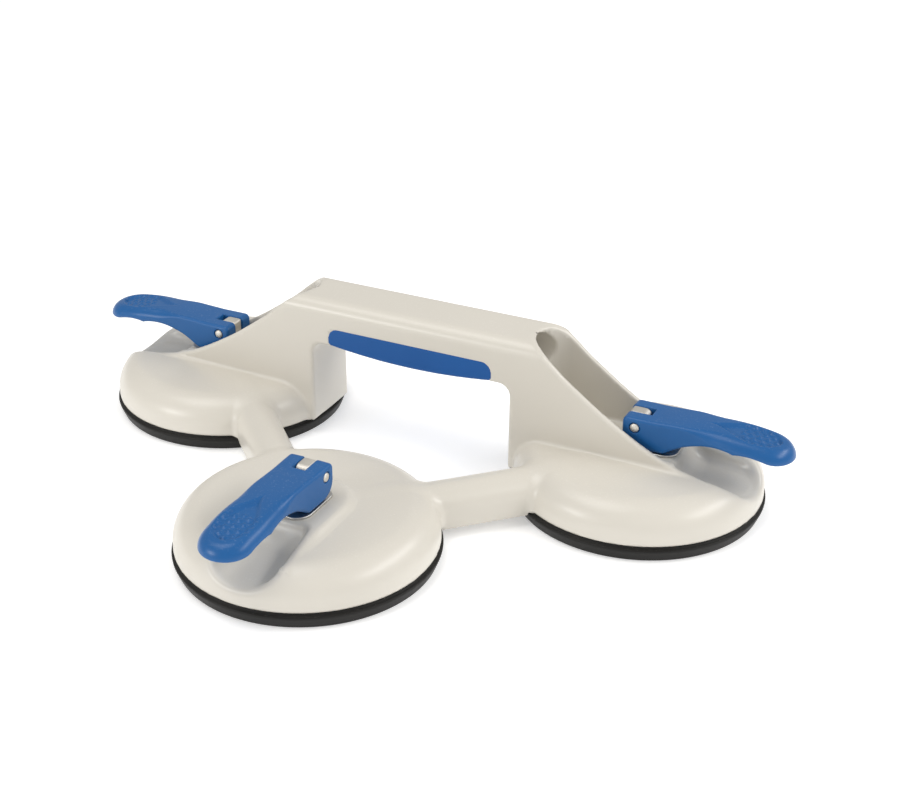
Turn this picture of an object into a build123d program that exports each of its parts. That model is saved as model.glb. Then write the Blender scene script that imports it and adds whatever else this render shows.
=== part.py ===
from build123d import *
import os
from math import atan2, cos, degrees, hypot, radians, sin

os.makedirs("parts", exist_ok=True)

# Millimetres, +Z up. The glass is z = 0 and the handle runs along X.
# The origin is the middle of the footprint. Each cup's lever points outwards, and reach is the
# distance from a cup's axis along its lever.

# Layout of the three cups
cup_half_span = 117.2
front_cup_offset = 116.5

# Rubber disc
sole_radius = 60.0
disc_radius = 61.9
disc_rim_height = 8.0
disc_rim_width = 9.5
disc_rim_bevel = 2.0
sole_chamfer_height = 5.5
membrane_thickness = 4.0
vacuum_height = 6.0
membrane_flat_radius = 26.0

# Steel plate bonded to the middle of the disc, and the stud that draws it up
pressure_plate_radius = 24.0
pressure_plate_thickness = 3.0
stud_shank_radius = 6.3
stud_tongue_thickness = 9.0
stud_foot_radius = 11.0
stud_foot_height = 2.5
stud_clearance = 0.05
stud_lift_room = 0.5
stud_spigot_radius = 5.0
plate_edge_chamfer = 0.8
shank_step = 0.3

# Bell, the round housing over each disc
bell_rim_radius = 61.0
bell_skirt_draft = 0.6
bell_shoulder_height = 26.1
bell_shoulder_radius = 14.0
bell_crown_height = 27.3
bell_wall = 3.2
guide_boss_radius = 10.5
bell_rib_count = 10
bell_rib_thickness = 2.4
rib_overlap = 1.0

# Raised seat under each lever's cam
seat_height = 29.5
front_seat_half_width = 22.5
front_seat_flat_reach = 22.0
front_seat_reach = 50.0
front_seat_edge_chamfer = 2.6
front_seat_end_depth = 1.0

# Finger scoop under each lever's grip
scoop_start = 21.0
scoop_wall_run = 3.5
scoop_inner_floor = 19.8
scoop_outer_floor = 16.4
scoop_floor_radius = 7.0
scoop_half_width = 14.3
scoop_mouth_half_width = 15.6
scoop_reach = 59.6
scoop_wall = 2.8

# Handle
handle_half_width = 17.5
handle_top = 76.3
handle_underside = 54.5
handle_edge_radius = 7.0
leg_inner_face = 56.8
leg_corner_radius = 3.0
arch_corner_radius = 6.0
bar_top_half_length = 57.0
trough_wall = 3.2
trough_end_wall = 2.6
trough_open_margin = 0.1
bore_half_width = 11.6
bore_half_height = 8.4
bore_height = 65.0

# The cheek's ridge, from the end of the bar's top down to the bell: distance from the handle's middle, height
ridge_points = [(72.0, 69.8), (88.0, 56.4), (104.0, 46.0), (120.0, 38.6), (138.0, 32.8), (162.0, 27.6)]
ridge_end_slope = -0.2
cheek_end = ridge_points[-1][0]

# Soft insert under the bar
insert_half_length = 45.5
insert_top = 63.0
insert_thickness = 2.5
insert_belly = 3.2
insert_core_height = 57.2
insert_corner_radius = 3.5
insert_edge_radius = 2.2

# Arms from the front bell to the other two
arm_half_width = 10.5
arm_top = 24.7
arm_bottom = 5.7
arm_wall = 3.0
arm_root_radius = 4.0
disc_clearance = 0.6

# Wear plate
wear_plate_thickness = 1.2
wear_plate_half_width = 11.0
wear_plate_back = 8.0
wear_plate_front = 20.6
wear_plate_corner_radius = 7.5
wear_plate_hole_clearance = 0.5

# Lever: lengths along u and heights, both measured from its pin
pin_radius = 2.0
pin_clearance = 0.05
pin_end_recess = 0.5
pin_end_chamfer = 0.4
pin_recess_radius = 3.0
pin_recess_depth = 1.0
cam_height = 11.0
cam_gap = 0.3
cam_front = 6.2
cam_corner_radius = 8.3
cam_flat_end = 15.0
fork_half_width = 11.0
fork_slot_gap = 0.3
fork_slot_end = 8.2
fork_edge_radius = 1.2
lever_top = 5.0
nose_corner_radius = 2.5
neck_bottom_points = [(18.0, -9.4), (22.0, -6.4), (28.0, -4.1)]
neck_end_slope = 0.25

# Cross sections of the grip: distance, bottom, side crease, crown, half width
grip_sections = [
    (28.0, -4.1, 4.2, 5.0, 11.0),
    (36.0, -2.4, 3.4, 5.1, 11.7),
    (45.0, -2.4, 2.0, 5.1, 12.5),
    (54.0, -2.7, -0.1, 4.5, 13.0),
    (63.0, -3.2, -1.9, 3.6, 12.7),
    (70.0, -2.9, -1.9, 2.3, 10.8),
    (74.5, -1.6, -0.8, 1.2, 7.0),
    (76.4, -0.4, 0.0, 0.6, 3.0),
]
lever_reach = grip_sections[-1][0]

# Worked out from the sizes above
handle_line_y = (front_cup_offset + lever_reach - disc_radius) / 2
front_cup_y = handle_line_y - front_cup_offset
wear_plate_top = seat_height + wear_plate_thickness
pin_height = wear_plate_top + cam_gap + cam_height
pressure_plate_bottom = vacuum_height + membrane_thickness
pressure_plate_top = pressure_plate_bottom + pressure_plate_thickness
guide_boss_bottom = pressure_plate_top + stud_foot_height + stud_lift_room
shank_bore_radius = stud_shank_radius + stud_clearance
trough_half_width = handle_half_width - trough_wall
trough_end_centre = leg_inner_face + trough_end_wall + trough_half_width
fork_slot_half_width = stud_tongue_thickness / 2 + fork_slot_gap
shank_top = wear_plate_top - shank_step
tool_height = 2 * handle_top
scoop_outer_reach = bell_rim_radius + scoop_wall
trough_open_end = scoop_start + trough_open_margin
touching = 0.01

# Cup axis x, cup axis y, and the heading of its lever in degrees from +X
cups = {
    "left": (-cup_half_span, handle_line_y, 180),
    "right": (cup_half_span, handle_line_y, 0),
    "front": (0, front_cup_y, 270),
}


def heading_vector(heading):
    return Vector(cos(radians(heading)), sin(radians(heading)), 0)


def flat_plane(cup, height=0):
    """Level plane at a cup, with x outwards along its lever."""
    x, y, heading = cup
    return Plane(origin=(x, y, height), x_dir=heading_vector(heading), z_dir=(0, 0, 1))


def side_plane(cup):
    """Upright plane through a cup's axis and its lever, with x outwards and y up."""
    x, y, heading = cup
    return Plane(origin=(x, y, 0), x_dir=heading_vector(heading), z_dir=heading_vector(heading - 90))


def cross_plane(cup, reach):
    """Upright plane square to a lever, at a distance from the cup's axis."""
    x, y, heading = cup
    origin = Vector(x, y, 0) + heading_vector(heading) * reach
    return Plane(origin=origin, x_dir=heading_vector(heading + 90), z_dir=heading_vector(heading))


def cup_axis(cup):
    return Axis((cup[0], cup[1], 0), (0, 0, 1))


def finish(builder, name):
    builder.part.label = name
    export_step(builder.part, f"parts/{name}.step")


def bell_body(cup):
    """The full round body of a bell."""
    with BuildPart() as bell:
        with BuildSketch(side_plane(cup)):
            with BuildLine():
                Line((0, disc_rim_height), (bell_rim_radius, disc_rim_height))
                FilletPolyline(
                    (bell_rim_radius, disc_rim_height),
                    (bell_rim_radius - bell_skirt_draft, bell_shoulder_height),
                    (0, bell_crown_height),
                    radius=bell_shoulder_radius,
                )
                Line((0, bell_crown_height), (0, disc_rim_height))
            make_face()
        revolve(axis=cup_axis(cup))
    return bell.part


def bell_hollow(cup):
    """The space inside a bell, around the boss that guides the stud."""
    inner_radius = bell_rim_radius - bell_wall
    ceiling = bell_shoulder_height - bell_wall
    with BuildPart() as hollow:
        with BuildSketch(side_plane(cup)):
            with BuildLine():
                Line((0, 0), (inner_radius, 0))
                FilletPolyline(
                    (inner_radius, 0),
                    (inner_radius - bell_skirt_draft, ceiling),
                    (guide_boss_radius, ceiling),
                    radius=bell_shoulder_radius - bell_wall,
                )
                Polyline(
                    (guide_boss_radius, ceiling),
                    (guide_boss_radius, guide_boss_bottom),
                    (0, guide_boss_bottom),
                    (0, 0),
                )
            make_face()
        revolve(axis=cup_axis(cup))
    return hollow.part


def scoop_body(cup, wall=0.0):
    """The hollow under a grip, or with a wall, the tub that the scoop sinks into the bell."""
    start = scoop_start - wall
    mouth = scoop_mouth_half_width + wall
    mouth_centre = scoop_reach - scoop_mouth_half_width
    with BuildPart() as scoop:
        with BuildSketch(side_plane(cup)):
            with BuildLine():
                FilletPolyline(
                    (start, seat_height),
                    (start + scoop_wall_run, scoop_inner_floor - wall),
                    (scoop_outer_reach, scoop_outer_floor - wall),
                    radius=scoop_floor_radius + wall,
                )
                Polyline(
                    (scoop_outer_reach, scoop_outer_floor - wall),
                    (scoop_outer_reach, tool_height),
                    (start, tool_height),
                    (start, seat_height),
                )
            make_face()
        extrude(amount=2 * mouth, both=True)
        with BuildSketch(flat_plane(cup)):
            with BuildLine():
                Line((start - scoop_wall, -scoop_half_width - wall), (mouth_centre, -mouth))
                ThreePointArc((mouth_centre, -mouth), (mouth_centre + mouth, 0), (mouth_centre, mouth))
                Line((mouth_centre, mouth), (start - scoop_wall, scoop_half_width + wall))
                Line(
                    (start - scoop_wall, scoop_half_width + wall),
                    (start - scoop_wall, -scoop_half_width - wall),
                )
            make_face()
        extrude(amount=tool_height, mode=Mode.INTERSECT)
    return scoop.part


def scoop_tub(cup):
    """The scoop's own wall, no larger than the bell it stands in."""
    with BuildPart() as tub:
        add(scoop_body(cup, scoop_wall))
        add(bell_body(cup), mode=Mode.INTERSECT)
    return tub.part


def trough_body(cup):
    """The open slot in a leg of the handle, with a round end, in which the lever swings."""
    end_centre = trough_end_centre - cup_half_span
    with BuildPart() as trough:
        with BuildSketch(flat_plane(cup, seat_height)):
            with BuildLine():
                Line((trough_open_end, trough_half_width), (end_centre, trough_half_width))
                ThreePointArc(
                    (end_centre, trough_half_width),
                    (end_centre - trough_half_width, 0),
                    (end_centre, -trough_half_width),
                )
                Line((end_centre, -trough_half_width), (trough_open_end, -trough_half_width))
                Line((trough_open_end, -trough_half_width), (trough_open_end, trough_half_width))
            make_face()
        extrude(amount=tool_height)
    return trough.part


def handle_plane():
    return Plane(origin=(0, handle_line_y, 0), x_dir=(1, 0, 0), z_dir=(0, -1, 0))


def handle_body():
    """Bar and legs in one: the side outline, held inside a round-cornered section."""
    with BuildPart() as handle:
        with BuildSketch(handle_plane()):
            with BuildLine():
                Line((0, handle_top), (bar_top_half_length, handle_top))
                Spline(
                    [(bar_top_half_length, handle_top), *ridge_points],
                    tangents=[(1, 0), (1, ridge_end_slope)],
                )
                Line(ridge_points[-1], (cheek_end, disc_rim_height))
                Line((cheek_end, disc_rim_height), (leg_inner_face, disc_rim_height))
                FilletPolyline(
                    (leg_inner_face, disc_rim_height),
                    (leg_inner_face, handle_underside),
                    (0, handle_underside),
                    radius=arch_corner_radius,
                )
                mirror(about=Plane.YZ)
            make_face()
        extrude(amount=handle_half_width, both=True)
        fillet(leg_corner_edges(handle), leg_corner_radius)
        with BuildSketch(Plane(origin=(0, handle_line_y, 0), x_dir=(0, 1, 0), z_dir=(1, 0, 0))):
            with BuildLine():
                Line((-handle_half_width, 0), (handle_half_width, 0))
                FilletPolyline(
                    (handle_half_width, 0),
                    (handle_half_width, handle_top),
                    (-handle_half_width, handle_top),
                    (-handle_half_width, 0),
                    radius=handle_edge_radius,
                )
            make_face()
        extrude(amount=cheek_end, both=True, mode=Mode.INTERSECT)
    return handle.part


def leg_corner_edges(handle):
    """The long edges of the arch: down the legs' inner faces and along the bar's underside."""
    return [
        edge
        for edge in handle.edges()
        if abs(abs(edge.center().Y - handle_line_y) - handle_half_width) < touching
        and abs(edge.center().X) < leg_inner_face + touching
        and edge.center().Z < handle_underside + touching
    ]


def insert_body():
    """The insert wraps the bar's underside: an outer block with its corners rounded, less the bar's core."""
    with BuildPart() as insert:
        with BuildSketch(handle_plane()):
            with BuildLine():
                Polyline(
                    (-insert_half_length, handle_underside),
                    (-insert_half_length, insert_top),
                    (insert_half_length, insert_top),
                    (insert_half_length, handle_underside),
                )
                ThreePointArc(
                    (insert_half_length, handle_underside),
                    (0, handle_underside - insert_belly),
                    (-insert_half_length, handle_underside),
                )
            make_face()
        extrude(amount=handle_half_width, both=True)
        fillet(insert.edges().filter_by(Axis.Y), insert_corner_radius)
        with BuildSketch(handle_plane()):
            with Locations((0, insert_core_height + tool_height / 2)):
                Rectangle(2 * cheek_end, tool_height)
        extrude(amount=handle_half_width - insert_thickness, both=True, mode=Mode.SUBTRACT)
        belly_edges = [
            edge
            for edge in insert.edges()
            if edge.center().Z < handle_underside - insert_belly / 2
            and abs(abs(edge.center().Y - handle_line_y) - handle_half_width) < touching
        ]
        fillet(belly_edges, insert_edge_radius)
    return insert.part


def arm_frame(name):
    """The upright plane at the front cup that faces another cup, and the distance between the two."""
    dx = cups[name][0] - cups["front"][0]
    dy = cups[name][1] - cups["front"][1]
    heading = degrees(atan2(dy, dx))
    plane = Plane(
        origin=(cups["front"][0], cups["front"][1], 0),
        x_dir=heading_vector(heading + 90),
        z_dir=heading_vector(heading),
    )
    return plane, hypot(dx, dy)


def arch_face(plane, half_width, top, bottom):
    """A round-topped face with upright sides."""
    spring = top - half_width
    with BuildSketch(plane) as arch:
        with BuildLine():
            Polyline((-half_width, spring), (-half_width, bottom), (half_width, bottom), (half_width, spring))
            ThreePointArc((half_width, spring), (0, top), (-half_width, spring))
        make_face()
    return arch.sketch


def front_seat():
    """The raised seat on the front bell: round behind the stud, sloping down to the bell in front."""
    cup = cups["front"]
    with BuildPart() as seat:
        with BuildSketch(side_plane(cup)):
            with BuildLine():
                Polyline(
                    (-front_seat_half_width, bell_wall + disc_rim_height),
                    (-front_seat_half_width, seat_height),
                    (front_seat_flat_reach, seat_height),
                    (front_seat_reach, bell_shoulder_height - front_seat_end_depth),
                    (front_seat_reach, bell_wall + disc_rim_height),
                    close=True,
                )
            make_face()
        extrude(amount=front_seat_half_width, both=True)
        with BuildSketch(flat_plane(cup)):
            with BuildLine():
                Line((front_seat_reach, -front_seat_half_width), (0, -front_seat_half_width))
                ThreePointArc(
                    (0, -front_seat_half_width), (-front_seat_half_width, 0), (0, front_seat_half_width)
                )
                Line((0, front_seat_half_width), (front_seat_reach, front_seat_half_width))
                Line((front_seat_reach, front_seat_half_width), (front_seat_reach, -front_seat_half_width))
            make_face()
        extrude(amount=tool_height, mode=Mode.INTERSECT)
        chamfer([edge for edge in seat.edges() if on_seat_rim(edge, cup)], front_seat_edge_chamfer)
    return seat.part


def on_seat_rim(edge, cup):
    """Whether an edge of the seat's top runs along its side or round its back."""
    middle = edge @ 0.5
    behind = max(middle.Y - cup[1], 0)
    on_wall = hypot(middle.X - cup[0], behind) > front_seat_half_width - touching
    return on_wall and middle.Z > bell_shoulder_height and edge.geom_type != GeomType.BSPLINE


def arm_root_edges(frame):
    """The curved edges where the arms run into the bells."""
    roots = []
    for edge in frame.edges():
        middle = edge.center()
        nearest_cup = min(hypot(middle.X - cup[0], middle.Y - cup[1]) for cup in cups.values())
        if (
            middle.Z > disc_rim_height
            and edge.geom_type not in (GeomType.CIRCLE, GeomType.LINE)
            and nearest_cup > bell_rim_radius - bell_shoulder_radius
        ):
            roots.append(edge)
    return roots


# The frame: bells, handle, arms and seat in one casting
with BuildPart() as main_frame:
    for cup in cups.values():
        add(bell_body(cup))
    for name in ("left", "right"):
        plane, distance = arm_frame(name)
        extrude(arch_face(plane, arm_half_width, arm_top, arm_bottom), amount=distance)
    fillet(arm_root_edges(main_frame), arm_root_radius)
    add(handle_body())
    add(front_seat())
    for cup in cups.values():
        add(bell_hollow(cup), mode=Mode.SUBTRACT)
        with BuildSketch(flat_plane(cup)):
            Circle(disc_radius + disc_clearance)
        extrude(amount=disc_rim_height, mode=Mode.SUBTRACT)
    for name in ("left", "right"):
        plane, distance = arm_frame(name)
        channel = arch_face(plane.offset(bell_rim_radius), arm_half_width - arm_wall, arm_top - arm_wall, 0)
        extrude(channel, amount=distance - 2 * bell_rim_radius, mode=Mode.SUBTRACT)
    for cup in cups.values():
        add(scoop_tub(cup))
        for index in range(bell_rib_count):
            turn = cup[2] + (index + 0.5) * 360 / bell_rib_count
            with BuildSketch(side_plane((cup[0], cup[1], turn))):
                with BuildLine():
                    Polyline(
                        (guide_boss_radius - rib_overlap, guide_boss_bottom),
                        (bell_rim_radius - bell_wall / 2, guide_boss_bottom),
                        (bell_rim_radius - bell_shoulder_radius, bell_shoulder_height - bell_wall / 2),
                        (guide_boss_radius - rib_overlap, bell_shoulder_height - bell_wall / 2),
                        close=True,
                    )
                make_face()
            extrude(amount=bell_rib_thickness / 2, both=True)
    for name, cup in cups.items():
        if name != "front":
            add(trough_body(cup), mode=Mode.SUBTRACT)
        add(scoop_body(cup), mode=Mode.SUBTRACT)
        with BuildSketch(flat_plane(cup)):
            Circle(shank_bore_radius)
        extrude(amount=tool_height, mode=Mode.SUBTRACT)
    with BuildSketch(Plane(origin=(0, handle_line_y, bore_height), x_dir=(0, 1, 0), z_dir=(1, 0, 0))):
        Ellipse(bore_half_width, bore_half_height)
    extrude(amount=trough_end_centre, both=True, mode=Mode.SUBTRACT)
    add(insert_body(), mode=Mode.SUBTRACT)
finish(main_frame, "main_frame")

with BuildPart() as grip_insert:
    add(insert_body())
finish(grip_insert, "grip_insert")


def suction_disc(cup):
    """Rubber disc: a thick rim on the glass and a membrane that rises to the plate in the middle."""
    rim_inner = disc_radius - disc_rim_width
    with BuildPart() as disc:
        with BuildSketch(side_plane(cup)):
            with BuildLine():
                Polyline(
                    (0, vacuum_height),
                    (membrane_flat_radius, vacuum_height),
                    (rim_inner, 0),
                    (sole_radius, 0),
                    (disc_radius, sole_chamfer_height),
                    (disc_radius, disc_rim_height),
                    (rim_inner + disc_rim_bevel, disc_rim_height),
                    (rim_inner, membrane_thickness),
                    (membrane_flat_radius, pressure_plate_bottom),
                    (0, pressure_plate_bottom),
                    close=True,
                )
            make_face()
        revolve(axis=cup_axis(cup))
    return disc


def pressure_plate(cup):
    """Steel plate on the membrane, with the hole that the stud is fixed in."""
    with BuildPart() as plate:
        with BuildSketch(flat_plane(cup, pressure_plate_bottom)):
            Circle(pressure_plate_radius)
            Circle(stud_spigot_radius, mode=Mode.SUBTRACT)
        extrude(amount=pressure_plate_thickness)
        chamfer(plate.edges().filter_by(GeomType.CIRCLE).sort_by(SortBy.RADIUS)[-2:], plate_edge_chamfer)
    return plate


def draw_stud(cup):
    """Round stud with a foot on the plate, milled flat above and rounded for the pin's eye."""
    with BuildPart() as stud:
        with BuildSketch(side_plane(cup)):
            with BuildLine():
                Polyline(
                    (0, pressure_plate_bottom),
                    (stud_spigot_radius, pressure_plate_bottom),
                    (stud_spigot_radius, pressure_plate_top),
                    (stud_foot_radius, pressure_plate_top),
                    (stud_foot_radius, pressure_plate_top + stud_foot_height),
                    (stud_shank_radius, pressure_plate_top + stud_foot_height),
                    (stud_shank_radius, pin_height + stud_shank_radius),
                    (0, pin_height + stud_shank_radius),
                    close=True,
                )
            make_face()
        revolve(axis=cup_axis(cup))
        with BuildSketch(flat_plane(cup, shank_top)):
            Circle(2 * stud_shank_radius)
            Rectangle(4 * stud_shank_radius, stud_tongue_thickness, mode=Mode.SUBTRACT)
        extrude(amount=tool_height, mode=Mode.SUBTRACT)
        with BuildSketch(side_plane(cup)):
            Rectangle(2 * stud_foot_radius, pin_height, align=(Align.CENTER, Align.MIN))
            with Locations((0, pin_height)):
                Circle(stud_shank_radius)
                Circle(pin_radius + pin_clearance, mode=Mode.SUBTRACT)
        extrude(amount=stud_foot_radius, both=True, mode=Mode.INTERSECT)
    return stud


def wear_plate(cup):
    """Thin steel plate on the seat, round-cornered towards the scoop."""
    length = wear_plate_front + wear_plate_back
    with BuildPart() as plate:
        with BuildSketch(flat_plane(cup, seat_height)):
            with Locations(((wear_plate_front - wear_plate_back) / 2, 0)):
                Rectangle(length, 2 * wear_plate_half_width)
            Circle(stud_shank_radius + wear_plate_hole_clearance, mode=Mode.SUBTRACT)
        extrude(amount=wear_plate_thickness)
        corners = plate.edges().filter_by(Axis.Z).filter_by(GeomType.LINE)
        front = [edge for edge in corners if reach_of(edge.center(), cup) > wear_plate_front - touching]
        fillet(front, wear_plate_corner_radius)
    return plate


def reach_of(point, cup):
    """Distance of a point from the cup's axis along its lever."""
    return (Vector(point.X, point.Y, 0) - Vector(cup[0], cup[1], 0)).dot(heading_vector(cup[2]))


def offset_of(point, cup):
    """Distance of a point to one side of the lever's middle."""
    return (Vector(point.X, point.Y, 0) - Vector(cup[0], cup[1], 0)).dot(heading_vector(cup[2] + 90))


def lever_fork(cup):
    """Cam, fork and neck: the side outline, as wide as the fork, with its outer edges rounded."""
    base = pin_height - cam_height
    top = pin_height + lever_top
    neck = [(reach, pin_height + height) for reach, height in neck_bottom_points]
    neck_end = neck[-1]
    with BuildPart() as fork:
        with BuildSketch(side_plane(cup)):
            with BuildLine():
                FilletPolyline(
                    (neck_end[0], top),
                    (-cam_front, top),
                    (-cam_front, base),
                    (cam_flat_end, base),
                    radius=[nose_corner_radius, cam_corner_radius],
                )
                Spline([(cam_flat_end, base), *neck], tangents=[(1, 0), (1, neck_end_slope)])
                Line(neck_end, (neck_end[0], top))
            make_face()
        extrude(amount=fork_half_width, both=True)
        rim = [
            edge
            for edge in fork.edges()
            if abs(abs(offset_of(edge.center(), cup)) - fork_half_width) < touching
            and reach_of(edge.center(), cup) < neck_end[0] - touching
        ]
        fillet(rim, fork_edge_radius)
    return fork.part


def grip_body(cup):
    """The grip, drawn through its cross sections: flat below, arched above and round-ended."""
    with BuildPart() as grip:
        for reach, bottom, crease, crown, half_width in grip_sections:
            with BuildSketch(cross_plane(cup, reach)):
                with BuildLine():
                    Polyline(
                        (-half_width, pin_height + crease),
                        (-half_width, pin_height + bottom),
                        (half_width, pin_height + bottom),
                        (half_width, pin_height + crease),
                    )
                    ThreePointArc(
                        (half_width, pin_height + crease),
                        (0, pin_height + crown),
                        (-half_width, pin_height + crease),
                    )
                make_face()
        loft()
    return grip.part


def lever_body(cup):
    with BuildPart() as lever:
        add(lever_fork(cup))
        add(grip_body(cup))
        with BuildSketch(flat_plane(cup)):
            with Locations(((fork_slot_end - 2 * cam_front) / 2, 0)):
                Rectangle(fork_slot_end + 2 * cam_front, 2 * fork_slot_half_width)
        extrude(amount=tool_height, mode=Mode.SUBTRACT)
        with BuildSketch(side_plane(cup)):
            with Locations((0, pin_height)):
                Circle(pin_radius)
        extrude(amount=fork_half_width, both=True, mode=Mode.SUBTRACT)
        for side in (1, -1):
            with BuildSketch(side_plane(cup).offset(side * (fork_half_width - pin_recess_depth))):
                with Locations((0, pin_height)):
                    Circle(pin_recess_radius)
            extrude(amount=side * pin_recess_depth, mode=Mode.SUBTRACT)
    return lever


def lever_pin(cup):
    """Cross pin, held in the fork's ears and free in the stud's eye."""
    with BuildPart() as pin:
        with BuildSketch(side_plane(cup)):
            with Locations((0, pin_height)):
                Circle(pin_radius)
        extrude(amount=fork_half_width - pin_end_recess, both=True)
        chamfer(pin.edges().filter_by(GeomType.CIRCLE), pin_end_chamfer)
    return pin


makers = {
    "suction_disc": suction_disc,
    "pressure_plate": pressure_plate,
    "draw_stud": draw_stud,
    "wear_plate": wear_plate,
    "lever": lever_body,
    "lever_pin": lever_pin,
}
for cup_name, cup in cups.items():
    for piece_name, make_piece in makers.items():
        finish(make_piece(cup), f"{piece_name}_{cup_name}")
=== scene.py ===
import math

import bmesh
import bpy
import numpy as np
from mathutils import Matrix, Vector


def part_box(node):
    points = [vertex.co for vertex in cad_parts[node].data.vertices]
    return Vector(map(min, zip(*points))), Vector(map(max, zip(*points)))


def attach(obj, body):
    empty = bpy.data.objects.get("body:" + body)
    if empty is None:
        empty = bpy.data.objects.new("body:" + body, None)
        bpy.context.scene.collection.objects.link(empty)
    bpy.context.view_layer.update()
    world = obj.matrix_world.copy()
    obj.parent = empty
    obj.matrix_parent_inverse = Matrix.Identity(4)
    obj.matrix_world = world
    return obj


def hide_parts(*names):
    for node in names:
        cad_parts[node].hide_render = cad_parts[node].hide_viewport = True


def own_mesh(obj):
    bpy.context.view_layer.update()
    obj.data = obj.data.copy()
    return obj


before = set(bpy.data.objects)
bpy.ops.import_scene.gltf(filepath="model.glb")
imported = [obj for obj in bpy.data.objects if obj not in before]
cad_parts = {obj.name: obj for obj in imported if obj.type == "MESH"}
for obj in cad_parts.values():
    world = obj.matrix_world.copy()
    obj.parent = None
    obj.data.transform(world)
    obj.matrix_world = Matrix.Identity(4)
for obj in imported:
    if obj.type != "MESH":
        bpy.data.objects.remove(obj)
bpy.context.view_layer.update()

# Shapes are worked out in millimetres in the frame's own axes, and turned to metres as each mesh is made.
mm = 0.001

# The middle of a CAD node's box, in millimetres.
def middleOf(node):
    low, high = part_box(node)
    return [(a + b) / 2 / mm for a, b in zip(low, high)]


# Cup axis x and y from each cup's stud, and the way its lever points
headings = {"left": (-1.0, 0.0), "right": (1.0, 0.0), "front": (0.0, -1.0)}
cups = {cup: (*middleOf(f"draw_stud_{cup}")[:2], *heading) for cup, heading in headings.items()}
halfSpan, handleLineY = cups["right"][:2]
pinHeight = middleOf("lever_pin_right")[2]
seatHeight = 29.5


# Each shape below is a number for every point: below 0 inside, and near the surface the distance to it in
# millimetres.


# What a and b share, with the edge between them rounded to radius r.
def roundMax(a, b, r):
    return np.minimum(-r, np.maximum(a, b)) + np.hypot(np.maximum(a + r, 0), np.maximum(b + r, 0))


# a and b together, with a hollow fillet of radius r where they meet.
def roundMin(a, b, r):
    return -roundMax(-a, -b, r)


# A smooth line through points: cubic pieces whose slope at a point is the mean of its two neighbours.
def throughPoints(t, points, firstSlope=None, lastSlope=None):
    at, value = np.array(points, dtype=float).T
    slope = np.gradient(value, at)
    if firstSlope is not None:
        slope[0] = firstSlope
    if lastSlope is not None:
        slope[-1] = lastSlope
    n = np.clip(np.searchsorted(at, t) - 1, 0, len(at) - 2)
    width = at[n + 1] - at[n]
    s = np.clip((t - at[n]) / width, 0, 1)
    line = (
        value[n] * (2 * s**3 - 3 * s**2 + 1)
        + value[n + 1] * (3 * s**2 - 2 * s**3)
        + width * slope[n] * (s**3 - 2 * s**2 + s)
        + width * slope[n + 1] * (s**3 - s**2)
    )
    outside = np.where(t < at[0], (t - at[0]) * slope[0], 0) + np.where(t > at[-1], (t - at[-1]) * slope[-1], 0)
    return line + outside


# How far along a line its slope is measured
slopeStep = 0.5


# Distance below a line drawn through points in the side view: the drop to the line, shortened by its slope.
def belowLine(u, v, points, firstSlope=None, lastSlope=None):
    height = throughPoints(u, points, firstSlope, lastSlope)
    slope = (throughPoints(u + slopeStep, points, firstSlope, lastSlope) - height) / slopeStep
    return (height - v) / np.sqrt(1 + slope**2)


# 0 below 0, 1 above 1, and an even curve between.
def smoothStep(t):
    t = np.clip(t, 0, 1)
    return t * t * (3 - 2 * t)


# The net that skins a shape: how firmly a cell's point is held to the middle of its crossings, how far it may
# leave its cell, how little bend counts as flat, how much a flat point moves in each round, and the reach for normals
net = {"hold": 0.08, "overshoot": 0.2, "flatBend": 0.02, "rounds": 2, "share": 0.5, "normalReach": 0.15}


# The grid numbers of one corner of each cell.
def cornersOf(cell, index):
    return cell[0] + index[0], cell[1] + index[1], cell[2] + index[2]


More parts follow.
